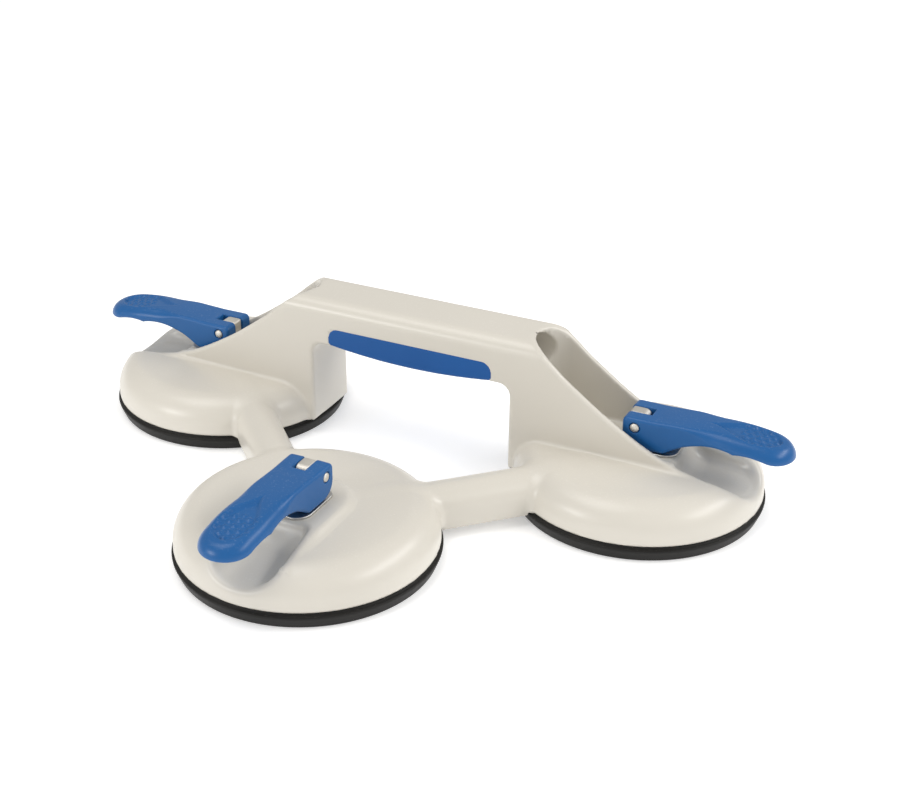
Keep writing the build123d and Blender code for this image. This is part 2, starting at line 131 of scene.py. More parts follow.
# The surface where shape is 0, as a net of quads with one quad round each grid edge that it crosses. There is one
# point in each grid cell that the surface passes through, where the planes that touch the surface at its
# crossings of the cell's edges meet, so edges and corners stay crisp. Elsewhere the points are evened out. All
# are then brought onto the surface along its slope.
def skinOf(shape, low, high, step):
    axes = [np.arange(a - 1.5 * step, b + 2.5 * step, step) for a, b in zip(low, high)]
    x, y, z = (axis.reshape([-1 if k == n else 1 for k in range(3)]) for n, axis in enumerate(axes))
    field = np.broadcast_to(shape(x, y, z), [len(a) for a in axes]).astype(np.float32)
    inside = field < 0
    corners = [(i, j, k) for i in (0, 1) for j in (0, 1) for k in (0, 1)]
    size = [n - 1 for n in field.shape]
    count = sum(inside[i:i + size[0], j:j + size[1], k:k + size[2]].astype(np.int8) for i, j, k in corners)
    cell = np.nonzero((count > 0) & (count < 8))
    start = np.array([axis[0] for axis in axes]) + np.array(cell).T * step
    at = {c: field[cornersOf(cell, c)] for c in corners}
    total, towards, crossings = np.zeros((len(start), 3)), np.zeros((len(start), 3)), np.zeros(len(start))
    squares, pulls = np.zeros((len(start), 3, 3)), np.zeros((len(start), 3))
    for a in corners:
        for axis in range(3):
            if a[axis]:
                continue
            b = tuple(1 if k == axis else a[k] for k in range(3))
            here = np.nonzero((at[a] < 0) != (at[b] < 0))[0]
            place = np.tile(np.array(a, dtype=float), (len(here), 1))
            place[:, axis] = at[a][here] / (at[a][here] - at[b][here])
            place *= step
            normal = slopeOf(shape, start[here] + place)
            total[here] += place
            towards[here] += normal
            crossings[here] += 1
            squares[here] += normal[:, :, None] * normal[:, None, :]
            pulls[here] += normal * (normal * place).sum(1, keepdims=True)
    mean = total / crossings[:, None]
    bend = 1 - np.linalg.norm(towards, axis=1) / crossings
    hold = net["hold"] * np.eye(3)
    meet = np.linalg.solve(squares + hold, (pulls + net["hold"] * mean)[:, :, None])[:, :, 0]
    points = start + np.clip(meet, -net["overshoot"] * step, (1 + net["overshoot"]) * step)
    even = (bend < net["flatBend"])[:, None]
    number = np.full(size, -1, dtype=np.int64)
    number[cell] = np.arange(len(points))
    quads = []
    for axis in range(3):
        across, up = (axis + 1) % 3, (axis + 2) % 3
        near = [slice(1, -1)] * 3
        far = [slice(1, -1)] * 3
        near[axis], far[axis] = slice(0, -1), slice(1, None)
        enters, leaves = inside[tuple(near)], inside[tuple(far)]
        edge = np.array(np.nonzero(enters != leaves))
        outward = enters[tuple(edge)]
        edge[across] += 1
        edge[up] += 1
        ring = []
        for back, down in ((1, 1), (0, 1), (0, 0), (1, 0)):
            spot = edge.copy()
            spot[across] -= back
            spot[up] -= down
            ring.append(number[tuple(spot)])
        ring = np.array(ring).T
        quads.append(np.where(outward[:, None], ring, ring[:, ::-1]))
    quads = np.concatenate(quads)
    ends = np.concatenate([quads[:, [n, (n + 1) % 4]] for n in range(4)])
    degree = np.maximum(np.bincount(ends[:, 0], minlength=len(points)), 1)
    for turn in range(net["rounds"] + 1):
        slope = slopeOf(shape, points)
        if turn < net["rounds"]:
            middle = np.stack([np.bincount(ends[:, 0], points[ends[:, 1], k], len(points)) for k in range(3)], 1)
            shift = (middle / degree[:, None] - points) * net["share"] * even
            points = points + shift - slope * (shift * slope).sum(1, keepdims=True)
        value = shape(*points.T)
        points = points - slope * np.clip(value, -step / 2, step / 2)[:, None]
    return points, quads, slopeOf(shape, points, net["normalReach"])


# The unit vector in which shape grows fastest, from differences taken a little way along each axis.
def slopeOf(shape, points, reach=0.05):
    slope = np.zeros_like(points)
    for axis in range(3):
        offset = np.zeros(3)
        offset[axis] = reach
        slope[:, axis] = shape(*(points + offset).T) - shape(*(points - offset).T)
    return slope / np.maximum(np.linalg.norm(slope, axis=1, keepdims=True), 1e-9)


# A mesh object from arrays of points in millimetres, quads of their numbers and outward normals.
def meshPiece(name, points, quads, normals=None):
    mesh = bpy.data.meshes.new(name)
    mesh.vertices.add(len(points))
    mesh.vertices.foreach_set("co", (points * mm).astype(np.float32).ravel())
    mesh.loops.add(quads.size)
    mesh.loops.foreach_set("vertex_index", quads.astype(np.int32).ravel())
    mesh.polygons.add(len(quads))
    mesh.polygons.foreach_set("loop_start", np.arange(0, quads.size, quads.shape[1], dtype=np.int32))
    mesh.update(calc_edges=True)
    mesh.polygons.foreach_set("use_smooth", np.ones(len(quads), dtype=bool))
    if normals is not None:
        mesh.normals_split_custom_set_from_vertices(normals.astype(np.float32))
    piece = bpy.data.objects.new(name, mesh)
    bpy.context.scene.collection.objects.link(piece)
    print(name, len(points), "points", len(quads), "faces")
    return piece


# Points given as reach along the lever, to its left, and height, set at that cup.
def turnedTo(cup, points):
    x, y, dx, dy = cups[cup]
    reach, left = points[:, 0], points[:, 1]
    return np.stack([x + reach * dx - left * dy, y + reach * dy + left * dx, points[:, 2]], 1)


# Directions turned the same way as turnedTo turns points.
def turnedNormals(cup, normals):
    dx, dy = cups[cup][2:]
    return np.stack([normals[:, 0] * dx - normals[:, 1] * dy, normals[:, 0] * dy + normals[:, 1] * dx,
                     normals[:, 2]], 1)


# Distance from a cup's axis along its lever, and to the left of it.
def reachAndSide(cup, x, y):
    cx, cy, dx, dy = cups[cup]
    return (x - cx) * dx + (y - cy) * dy, (y - cy) * dx - (x - cx) * dy


# The housing: three bells, two arms and the handle in one casting
housing = {
    "step": 1.42, "bellRim": 61.0, "skirtDraft": 0.6, "rimHeight": 8.0, "shoulder": 26.1, "shoulderRadius": 14.0,
    "crown": 27.3, "wall": 3.2, "bossRadius": 10.5, "bossBottom": 16.0, "boreRadius": 6.35,
    "ribs": 10, "ribThickness": 2.4,
    "discClearance": 62.5,
    "seatHalfWidth": 22.8, "seatFlat": 22.0, "seatReach": 50.0, "seatEnd": 25.1, "seatBevel": 3.5, "seatEase": 1.0,
    "scoopStart": 21.0, "scoopRun": 3.5, "scoopInner": 19.8, "scoopOuter": 16.4, "scoopRadius": 7.0,
    "scoopSide": 14.3, "scoopMouth": 15.6, "scoopReach": 59.6, "scoopWall": 2.8, "scoopLip": 2.0,
    "scoopLipEnd": 5.5, "scoopCorner": 4.0,
    "handleHalf": 17.5, "handleTop": 76.3, "handleRadius": 7.0, "underside": 53.0, "legFace": 55.0,
    "legRadius": 1.6, "archRadius": 6.0, "cheekEnd": 162.0,
    "ridge": [(60, 76.3), (65, 75.6), (70, 73.0), (76, 68.2), (83, 62.2), (90, 57.0), (96.5, 52.3), (103, 47.8),
              (110, 43.4), (117, 39.3), (124, 35.5), (131, 32.2), (139, 29.2), (147, 26.4), (155, 23.5), (162, 21.0)],
    "troughHalf": 14.3, "troughEnd": 76.5, "troughOpenEnd": 21.1, "rimOuter": 1.3, "rimInner": 0.8, "troughCorner": 2.0,
    "boreWide": 11.2, "boreTall": 8.4, "boreMiddle": 64.8, "boreFlare": (50.0, 10.0, 0.2, 1.9),
    "armHalf": 10.5, "armTop": 24.7, "armBottom": 5.7, "armWall": 3.0, "armRoot": 3.6, "crease": 1.6,
    "creaseFrom": 104.0, "creaseRun": 36.0, "creaseEnd": 2.6, "benchHalf": 14.9, "benchBack": 30.0,
    "benchEdge": 1.0, "benchRoot": 1.5, "raisedFrom": 12.0, "rimEdge": 0.8, "scoopLipFrom": 26.0, "scoopLipRun": 24.0,
    "boreEdge": 0.4, "ridgeEndSlope": -0.2, "gridLow": (-181, -115, 5), "gridHigh": (181, 130, 77),
}


# A cone-sided drum under a slightly sloping crown, with the shoulder between them rounded.
def bellSolid(cup, x, y, z):
    h = housing
    reach, side = reachAndSide(cup, x, y)
    r = np.hypot(reach, side)
    skirt = r - h["bellRim"] + h["skirtDraft"] * (z - h["rimHeight"]) / (h["shoulder"] - h["rimHeight"])
    crown = z - h["crown"] + (h["crown"] - h["shoulder"]) * r / h["bellRim"]
    return roundMax(roundMax(skirt, crown, h["shoulderRadius"]), h["rimHeight"] - z, h["rimEdge"])


# The space inside a bell, around the boss that guides the stud, with the ribs left standing.
def bellHollow(cup, x, y, z):
    h = housing
    reach, side = reachAndSide(cup, x, y)
    r = np.hypot(reach, side)
    space = roundMax(r - h["bellRim"] + h["wall"], z - h["shoulder"] + h["wall"], h["shoulderRadius"] - h["wall"])
    boss = np.maximum(r - h["bossRadius"], h["bossBottom"] - z)
    turn = 2 * math.pi / h["ribs"]
    angle = np.arctan2(side, reach)
    off = (angle / turn - np.floor(angle / turn) - 0.5) * turn
    rib = np.maximum(np.abs(r * np.sin(off)) - h["ribThickness"] / 2, h["bossBottom"] - z)
    return np.maximum(np.maximum(space, -boss), -rib)


# The hollow under a grip: a sloping floor, a steep wall behind it and sides that widen to a round end.
def scoopSpace(cup, x, y, z, wall=0.0):
    h = housing
    reach, side = reachAndSide(cup, x, y)
    outer = h["bellRim"] + h["scoopWall"]
    inner = h["scoopStart"] + h["scoopRun"]
    floorSlope = (h["scoopOuter"] - h["scoopInner"]) / (outer - inner)
    floor = (h["scoopInner"] + (reach - inner) * floorSlope - z - wall) / math.hypot(1, floorSlope)
    wallSlope = h["scoopRun"] / (seatHeight - h["scoopInner"])
    back = (h["scoopStart"] + (seatHeight - z) * wallSlope - reach - wall) / math.hypot(1, wallSlope)
    endCentre = h["scoopReach"] - h["scoopMouth"]
    widening = (h["scoopMouth"] - h["scoopSide"]) / (endCentre - h["scoopStart"])
    half = h["scoopSide"] + (reach - h["scoopStart"]) * widening
    flank = np.where(reach < endCentre, np.abs(side) - half, np.hypot(reach - endCentre, side) - h["scoopMouth"])
    trough = roundMax(floor, back, h["scoopRadius"])
    return roundMax(trough, flank - wall, h["scoopCorner"])


# The raised seat of the front cup, round behind the stud, with sloping edges.
def seatSolid(cup, x, y, z):
    h = housing
    reach, side = reachAndSide(cup, x, y)
    wall = np.where(reach < 0, np.hypot(reach, side), np.abs(side)) - h["seatHalfWidth"]
    slope = (seatHeight - h["seatEnd"]) / (h["seatReach"] - h["seatFlat"])
    top = z - seatHeight + np.maximum(reach - h["seatFlat"], 0) * slope
    bevel = (wall + top + h["seatBevel"]) * math.sqrt(0.5)
    return np.maximum(roundMax(np.maximum(wall, top), bevel, h["seatEase"]), reach - h["seatReach"])


# Unit vector along an arm from the front cup, and its length between the cups' axes.
def armSpan(name):
    dx, dy = cups[name][0] - cups["front"][0], cups[name][1] - cups["front"][1]
    length = math.hypot(dx, dy)
    return dx / length, dy / length, length


# A bar with upright sides and a half-round back, from cup to cup. With an inset it is the hollow inside.
def armSolid(name, x, y, z, inset=0.0):
    h = housing
    dx, dy, length = armSpan(name)
    ox, oy = x - cups["front"][0], y - cups["front"][1]
    along = ox * dx + oy * dy
    side = ox * dy - oy * dx
    spring = h["armTop"] - h["armHalf"]
    arch = np.where(z > spring, np.hypot(side, z - spring), np.abs(side)) - h["armHalf"] + inset
    start = h["bellRim"] if inset else 0.0
    return np.maximum(arch, np.maximum(start - along, along - length + start))


# Bar and legs: the side outline under the ridge line, held inside a round-cornered section.
def handleSolid(x, y, z):
    h = housing
    far = np.abs(x)
    side = np.abs(y - handleLineY) - h["handleHalf"]
    section = roundMax(z - h["handleTop"], side, h["handleRadius"])
    ridge = -belowLine(far, z, h["ridge"], 0.0, h["ridgeEndSlope"])
    body = np.maximum(section, roundMax(ridge, side, h["rimOuter"]))
    body = np.maximum(body, far - h["cheekEnd"])
    gap = roundMax(far - h["legFace"], z - h["underside"], h["archRadius"])
    return roundMax(np.maximum(body, h["rimHeight"] - z), -gap, h["legRadius"])


# The open channel behind a side lever: straight sides that close in a half circle, over a flat floor.
def troughSpace(cup, x, y, z):
    h = housing
    reach, side = reachAndSide(cup, x, y)
    end = h["troughEnd"] - halfSpan
    plan = np.where(reach > end, np.abs(side), np.hypot(reach - end, side)) - h["troughHalf"]
    return np.maximum(roundMax(plan, seatHeight - z, h["troughCorner"]), reach - h["troughOpenEnd"])


# Outer forms joined with fillets, then troughs, scoops and bore cut with soft lips, and the hollows inside and
# the pocket of the insert cut sharp.
def housingShape(x, y, z):
    h = housing
    bells = [bellSolid(cup, x, y, z) for cup in cups]
    solid = np.minimum(np.minimum(bells[0], bells[1]), bells[2])
    seat = seatSolid("front", x, y, z)
    solid = roundMin(solid, np.maximum(seat, h["raisedFrom"] - z), h["crease"])
    arms = np.minimum(armSolid("left", x, y, z), armSolid("right", x, y, z))
    arms = np.maximum(arms, h["armBottom"] - z)
    for cup in cups:
        reach, side = reachAndSide(cup, x, y)
        low = np.maximum(np.hypot(reach, side) - h["discClearance"], z - h["rimHeight"])
        arms = np.maximum(arms, -low)
    solid = roundMin(solid, arms, h["armRoot"])
    fade = smoothStep((np.abs(x) - h["creaseFrom"]) / h["creaseRun"])
    solid = roundMin(solid, handleSolid(x, y, z), h["crease"] + fade * (h["creaseEnd"] - h["crease"]))
    for name in ("left", "right"):
        reach, side = reachAndSide(name, x, y)
        bench = roundMax(np.abs(side) - h["benchHalf"], z - seatHeight, h["benchEdge"])
        bench = np.maximum(np.maximum(bench, reach - h["troughOpenEnd"]), h["raisedFrom"] - z)
        solid = roundMin(solid, np.maximum(bench, -h["benchBack"] - reach), h["benchRoot"])
    for name in ("left", "right"):
        solid = roundMax(solid, -troughSpace(name, x, y, z), h["rimInner"])
    for cup in cups:
        reach, side = reachAndSide(cup, x, y)
        widen = smoothStep((reach - h["scoopLipFrom"]) / h["scoopLipRun"])
        lip = h["scoopLip"] + (h["scoopLipEnd"] - h["scoopLip"]) * widen
        solid = roundMax(solid, -scoopSpace(cup, x, y, z), lip)
        solid = np.maximum(solid, h["boreRadius"] - np.hypot(reach, side))
    flareFrom, flareRun, wider, taller = h["boreFlare"]
    flare = smoothStep((np.abs(x) - flareFrom) / flareRun)
    wide, tall = h["boreWide"] + flare * wider, h["boreTall"] + flare * taller
    bore = (np.hypot((y - handleLineY) / wide, (z - h["boreMiddle"]) / tall) - 1) * tall
    solid = roundMax(solid, -np.maximum(bore, np.abs(x) - h["troughEnd"]), h["boreEdge"])
    for cup in cups:
        tub = scoopSpace(cup, x, y, z, h["scoopWall"])
        solid = np.maximum(solid, -np.maximum(bellHollow(cup, x, y, z), -tub))
    for name in ("left", "right"):
        solid = np.maximum(solid, -armSolid(name, x, y, z, h["armWall"]))
    return np.maximum(solid, -insertShape(x, y, z, inset=insert["seam"], reach=insert["pocketReach"]))


# The soft insert under the bar
insert = {
    "step": 0.7, "halfLength": 45.5, "top": 63.0, "thickness": 2.5, "belly": 3.2, "core": 57.2,
    "corner": 5.5, "edge": 2.4, "edgeDepth": 2.0, "underEdge": 1.0, "skinEdge": 0.4, "proud": 0.12, "seam": 0.9,
    "pocketReach": 2.0, "pocketBelow": 4.0, "gridLow": (-46, -18, 48.5), "gridHigh": (46, 18, 64),
}


# A block with a bellied underside and rounded corners, less the bar's core that it wraps. With a reach it is the
# pocket that it sits in.
def insertShape(x, y, z, inset=0.0, reach=0.0):
    h = housing
    side = np.abs(y - handleLineY)
    belly = insert["belly"] * (1 - (x / insert["halfLength"]) ** 2)
    below = insert["pocketBelow"] if reach else 0.0
    under = h["underside"] - belly - z - below
    outline = roundMax(np.abs(x) - insert["halfLength"], z - insert["top"], insert["corner"]) + inset
    outline = roundMax(outline, under, insert["underEdge"])
    skin = side - h["handleHalf"] - insert["proud"] - reach
    body = roundMax(outline, skin, insert["skinEdge"])
    if not reach:
        body = roundMax(body, np.maximum(under, -insert["edgeDepth"]), insert["edge"])
    core = np.maximum(side - h["handleHalf"] + insert["thickness"], insert["core"] - z)
    return np.maximum(body, -core)


# The lever, worked out once and set at each cup: lengths along it and heights, both from its pin
lever = {
    "step": 0.45, "forkHalf": 11.0, "top": 5.0, "camHeight": 11.0, "camFront": 6.2, "camRadius": 8.3,
    "backCorner": 2.5, "slotHalf": 3.4, "slotEnd": 6.0, "reach": 75.0, "tipRadius": 12.7,
    "edge": 1.7, "tipTopEdge": 5.0, "tipLowEdge": 1.5, "cuspEdge": 0.6,
    "arch": [(13.5, -11), (19, -8.0), (23.5, -5.4), (28, -3.6), (36, -1.4), (42, -1.1), (48.5, -2.3)],
    "hollow": [(48.5, -2.3), (54, -1.5), (61, -2.3), (66, -3.5), (70.5, -4.0), (75, -4.1)],
    "crease": [(8, 4.8), (15, 5.1), (22, 5.4), (30, 5.5), (38, 5.3), (48.5, 4.6), (54, 4.0), (61, 3.1), (66, 2.3),
               (70.5, 1.4), (75, 0.2)],
    "crown": [(8, 5.0), (15, 5.3), (22, 5.6), (30, 5.9), (38, 6.0), (48.5, 5.8), (54, 5.4), (61, 4.7), (66, 3.8),
              (70.5, 2.7), (75, 1.2)],
    "half": [(0, 11.0), (28, 11.0), (36, 11.7), (42, 12.3), (48.5, 12.8), (54, 13.0), (62.3, 12.7), (75, 12.7)],
    "padStart": 30.0, "padMiddle": 56.0, "padEnd": 68.0, "padHalf": 9.9, "padDepth": 1.5, "padRim": 3.8,
    "dotStart": 48.0, "dotPitch": 4.1, "dotRadius": 1.2, "dotHeight": 0.8,
    "rowSpacing": 0.87, "dotStartRun": 2.0, "dotMargin": 1.0, "dotFade": 0.8,
    "pinRecess": 2.75, "pinRecessDepth": 1.0, "pinRadius": 2.0, "recessEdge": 0.3, "slotEdge": 0.5,
    "bow": 2.2, "rounderFrom": 24.0, "rounderRun": 16.0, "archSlopes": (0.0, -0.4), "hollowSlopes": (0.35, 0.0),
    "padFloor": 2.0, "gridLow": (-7, -14, -12), "gridHigh": (76, 14, 7),
}


# How far the top is sunk under the thumb: a leaf that widens from its point to a round end, with rows of small
# raised dots standing in it.
def thumbPad(u, w):
    p = lever
    tail = p["padHalf"] * smoothStep((u - p["padStart"]) / (p["padMiddle"] - p["padStart"]))
    ahead = np.clip((u - p["padMiddle"]) / (p["padEnd"] - p["padMiddle"]), 0, 1)
    half = np.where(u < p["padMiddle"], tail, p["padHalf"] * np.sqrt(1 - ahead**2))
    leaf = smoothStep((half - np.abs(w)) / p["padRim"])
    row = np.round(w / (p["dotPitch"] * p["rowSpacing"]))
    dw = w - row * p["dotPitch"] * p["rowSpacing"]
    place = u / p["dotPitch"] + 0.5 * np.mod(row, 2)
    du = (place - np.round(place)) * p["dotPitch"]
    dots = np.exp(-(du**2 + dw**2) / p["dotRadius"] ** 2)
    zone = smoothStep((half - p["dotMargin"] - np.abs(w)) / p["dotFade"])
    zone = zone * smoothStep((u - p["dotStart"]) / p["dotStartRun"])
    return p["padDepth"] * leaf - p["dotHeight"] * dots * zone


# The side outline of cam, neck and grip, arched on top, as wide as the plan outline allows.
def leverShape(u, w, v):
    p = lever
    tip = p["reach"] - p["tipRadius"]
    half = throughPoints(u, p["half"], 0.0, 0.0)
    plan = np.where(u < tip, np.abs(w) - half, np.hypot(u - tip, w) - p["tipRadius"])
    crease, crown = throughPoints(u, p["crease"], 0.0), throughPoints(u, p["crown"], 0.0)
    top = v - crown + (crown - crease) * (np.abs(w) / half) ** p["bow"]
    arch = np.where(u < p["arch"][0][0], -p["camHeight"] - v, belowLine(u, v, p["arch"], *p["archSlopes"]))
    under = roundMax(arch, belowLine(u, v, p["hollow"], *p["hollowSlopes"]), p["cuspEdge"])
    back = -p["camFront"] - u
    toTip = smoothStep((u - p["rounderFrom"]) / p["rounderRun"])
    lowEdge = p["edge"] + toTip * (p["tipLowEdge"] - p["edge"])
    topEdge = p["edge"] + toTip * (p["tipTopEdge"] - p["edge"])
    lower = roundMax(roundMax(under, back, p["camRadius"]), plan, lowEdge)
    upper = roundMax(roundMax(top, back, p["backCorner"]), plan, topEdge)
    body = np.maximum(lower, upper)
    body = np.maximum(body, np.where(top > -p["padFloor"], top + thumbPad(u, w), -1.0))
    slot = np.maximum(np.abs(w) - p["slotHalf"], u - p["slotEnd"])
    body = roundMax(body, -slot, p["slotEdge"])
    fromPin = np.hypot(u, v)
    recess = np.maximum(fromPin - p["pinRecess"], p["forkHalf"] - p["pinRecessDepth"] - np.abs(w))
    body = roundMax(body, -recess, p["recessEdge"])
    return np.maximum(body, p["pinRadius"] - fromPin)


# The draw stud in the middle of each cup
stud = {
    "step": 0.45, "plateTop": 13.0, "plateBottom": 10.0, "spigot": 5.0, "foot": 11.0, "footTop": 15.5,
    "shank": 6.3, "tongueHalf": 3.1, "tongueFront": 4.0, "tongueBack": 5.3, "tongueRise": 4.6, "tongueRoot": 2.0,
    "frontRadius": 3.2, "backRadius": 1.2, "flatsFrom": 30.4, "pinHole": 2.05,
    "footEdge": 0.3, "edge": 0.4, "fillet": 0.8, "gridLow": (-11.5, -11.5, 9.5), "gridHigh": (11.5, 11.5, 49),
}


# A round bar on a foot. Above the seat it is milled to a tongue whose front is rounded, with an eye for the pin.
def studShape(u, w, z):
    s = stud
    r = np.hypot(u, w)
    spigot = np.maximum(np.maximum(r - s["spigot"], s["plateBottom"] - z), z - s["footTop"])
    foot = roundMax(np.maximum(r - s["foot"], z - s["footTop"]), s["plateTop"] - z, s["footEdge"])
    bar = roundMax(r - s["shank"], z - s["flatsFrom"], s["edge"])
    bar = np.maximum(bar, s["plateTop"] - z)
    rise = z - pinHeight - s["tongueRise"]
    outline = np.maximum(roundMax(u - s["tongueFront"], rise, s["frontRadius"]),
                         roundMax(-s["tongueBack"] - u, rise, s["backRadius"]))
    tongue = roundMax(outline, np.abs(w) - s["tongueHalf"], s["edge"])
    tongue = np.maximum(tongue, s["flatsFrom"] - s["tongueRoot"] - z)
    body = np.minimum(roundMin(np.minimum(foot, spigot), bar, s["fillet"]), tongue)
    return np.maximum(body, s["pinHole"] - np.hypot(u, z - pinHeight))


# The wear plate on each seat
plate = {"step": 0.4, "back": 8.0, "front": 20.6, "half": 11.0, "corner": 7.5, "backCorner": 5.0,
         "thickness": 1.2, "hole": 6.8, "edge": 0.35, "holeEdge": 0.3, "gridLow": (-9, -12, 29),
         "gridHigh": (22, 12, 31)}


# A thin sheet with its two outer corners rounded, its edges eased, and a hole for the stud.
def plateShape(u, w, z):
    p = plate
    outline = roundMax(u - p["front"], np.abs(w) - p["half"], p["corner"])
    outline = roundMax(outline, -p["back"] - u, p["backCorner"])
    sheet = roundMax(outline, np.abs(z - seatHeight - p["thickness"] / 2) - p["thickness"] / 2, p["edge"])
    return roundMax(sheet, p["hole"] - np.hypot(u, w), p["holeEdge"])


# The rubber disc, as a profile of radius and height turned about the cup's axis
disc = {
    "turns": 240, "sole": 60.0, "outer": 61.9, "height": 8.0, "rim": 9.5, "vacuum": 6.0, "membrane": 4.0,
    "flat": 26.0, "chamferTop": 5.3, "lipTop": 6.3, "groove": 60.4, "ease": 0.5, "relaxed": 0.53,
    "soleEase": 0.6, "grooveEase": 0.5, "land": 2.0, "rimGap": 0.1, "middleGap": 0.05, "middleEase": 0.25,
}
weld = {"merge": 2e-6, "flat": 1e-7}  # metres


# A closed skin of quads: the profile's points carried round the cup's axis. The first and last point are on the
# axis, or joined to each other in a ring.
def turned(name, cup, profile, turns, ring=False):
    x, y = cups[cup][:2]
    radius, height = np.array(profile, dtype=float).T
    angle = np.arange(turns) * 2 * math.pi / turns
    px = x + radius[:, None] * np.cos(angle)
    py = y + radius[:, None] * np.sin(angle)
    pz = np.broadcast_to(height[:, None], px.shape)
    points = np.stack([px, py, pz], -1).reshape(-1, 3)
    row = np.arange(len(profile) - (not ring))[:, None] * turns
    after = (row + turns) % (len(profile) * turns)
    col = np.arange(turns)
    nxt = (col + 1) % turns
    quads = np.stack([row + col, after + col, after + nxt, row + nxt], -1).reshape(-1, 4)
    piece = meshPiece(name, points, quads)
    weldPoles(piece)
    return piece


# Merges the points that meet on the axis, so the poles are closed, and turns all faces outwards.
def weldPoles(piece):
    work = bmesh.new()
    work.from_mesh(piece.data)
    bmesh.ops.remove_doubles(work, verts=work.verts, dist=weld["merge"])
    bmesh.ops.dissolve_degenerate(work, edges=work.edges, dist=weld["flat"])
    bmesh.ops.recalc_face_normals(work, faces=work.faces)
    work.to_mesh(piece.data)
    work.free()
    piece.data.polygons.foreach_set("use_smooth", np.ones(len(piece.data.polygons), dtype=bool))


# A profile with each corner between its two ends rounded by a quarter-bend through the corner.
def easedProfile(points, radius, steps=5):
    points = [np.array(p, dtype=float) for p in points]
    out = [points[0]]
    for before, corner, after in zip(points, points[1:], points[2:]):
        a, b = before - corner, after - corner
        cut = min(radius, np.linalg.norm(a) * 0.45, np.linalg.norm(b) * 0.45)
        a, b = corner + a / np.linalg.norm(a) * cut, corner + b / np.linalg.norm(b) * cut
        for s in np.linspace(0, 1, steps):
            out.append(a * (1 - s) ** 2 + corner * 2 * s * (1 - s) + b * s**2)
    out.append(points[-1])
    return out


# The thick outer ring: its flat sole, a chamfer, a lip, and the groove under the housing's edge.
def rimProfile():
    d = disc
    inner = d["outer"] - d["rim"]
    top = d["height"] - d["rimGap"]
    start = (inner, d["membrane"] / 2)
    return easedProfile([
        start, (inner, 0.0), (d["sole"] - d["soleEase"], 0.0), (d["sole"], d["grooveEase"]),
        (d["outer"], d["chamferTop"]), (d["outer"], d["lipTop"]), (d["groove"], d["lipTop"] + d["grooveEase"]),
        (d["groove"], top), (inner + d["land"], top),
        (inner, d["membrane"]), start,
    ], d["ease"])[:-1]


# The domed middle that the pressure plate lifts.
def membraneProfile():
    d = disc
    inner = d["outer"] - d["rim"]
    high = d["vacuum"] + d["membrane"] - d["middleGap"]
    return easedProfile([
        (0, d["vacuum"]), (d["flat"], d["vacuum"]), (inner, 0.0), (inner, d["membrane"]), (d["flat"], high), (0, high),
    ], d["middleEase"])


# The cross pin of each lever
pin = {"radius": 2.0, "half": 11.4, "head": 2.25, "headLength": 1.5, "dome": 0.9, "headStep": 0.1, "turns": 48}


# A round bar with domed heads, its profile turned about the pin's own axis.
def pinPiece(name, cup):
    half = pin["half"] - pin["dome"]
    bend = np.linspace(0, math.pi / 2, 8)
    ends = [(pin["head"] * math.sin(b), half + pin["dome"] * math.cos(b)) for b in bend]
    behind = pin["half"] - pin["headLength"]
    ends += [(pin["head"], behind), (pin["radius"], behind - pin["headStep"])]
    profile = np.array(ends + [(r, -h) for r, h in reversed(ends)])
    angle = np.arange(pin["turns"]) * 2 * math.pi / pin["turns"]
    u = profile[:, :1] * np.cos(angle)
    v = profile[:, :1] * np.sin(angle) + pinHeight
    w = np.broadcast_to(profile[:, 1:], u.shape)
    points = turnedTo(cup, np.stack([u, w, v], -1).reshape(-1, 3))
    row = np.arange(len(profile) - 1)[:, None] * pin["turns"]
    col = np.arange(pin["turns"])
    nxt = (col + 1) % pin["turns"]
    quads = np.stack([row + col, row + nxt, row + pin["turns"] + nxt, row + pin["turns"] + col], -1).reshape(-1, 4)
    piece = meshPiece(name, points, quads)
    weldPoles(piece)
    return piece


# Shader groups that several finishes share
# An empty shader group with its named sockets.
def newGroup(name, inputs, outputs):
    group = bpy.data.node_groups.new(name, "ShaderNodeTree")
    for label, kind, value in inputs:
        socket = group.interface.new_socket(label, in_out="INPUT", socket_type=kind)
        socket.default_value = value
    for label, kind in outputs:
        group.interface.new_socket(label, in_out="OUTPUT", socket_type=kind)
    return group, group.nodes.new("NodeGroupInput"), group.nodes.new("NodeGroupOutput")


# One sum or product of two sockets or numbers.
def mathNode(tree, operation, first, second=None, clamp=False):
    node = tree.nodes.new("ShaderNodeMath")
    node.operation = operation
    node.use_clamp = clamp
    for n, value in enumerate((first, second)):
        if value is None:
            continue
        if isinstance(value, (int, float)):
            node.inputs[n].default_value = value
        else:
            tree.links.new(value, node.inputs[n])
    return node.outputs[0]


# A cloud pattern from 0 to 1.
def noiseNode(tree, vector, scale, detail=3.0, roughness=0.5):
    node = tree.nodes.new("ShaderNodeTexNoise")
    node.inputs["Scale"].default_value = scale
    node.inputs["Detail"].default_value = detail
    node.inputs["Roughness"].default_value = roughness
    tree.links.new(vector, node.inputs["Vector"])
    return node.outputs["Fac"]


# Brings the range low to high to toLow to toHigh, and holds it there outside.
def remap(tree, value, low, high, toLow=0.0, toHigh=1.0):
    node = tree.nodes.new("ShaderNodeMapRange")
    node.clamp = True
    for label, number in (("From Min", low), ("From Max", high), ("To Min", toLow), ("To Max", toHigh)):
        node.inputs[label].default_value = number
    tree.links.new(value, node.inputs["Value"])
    return node.outputs["Result"]


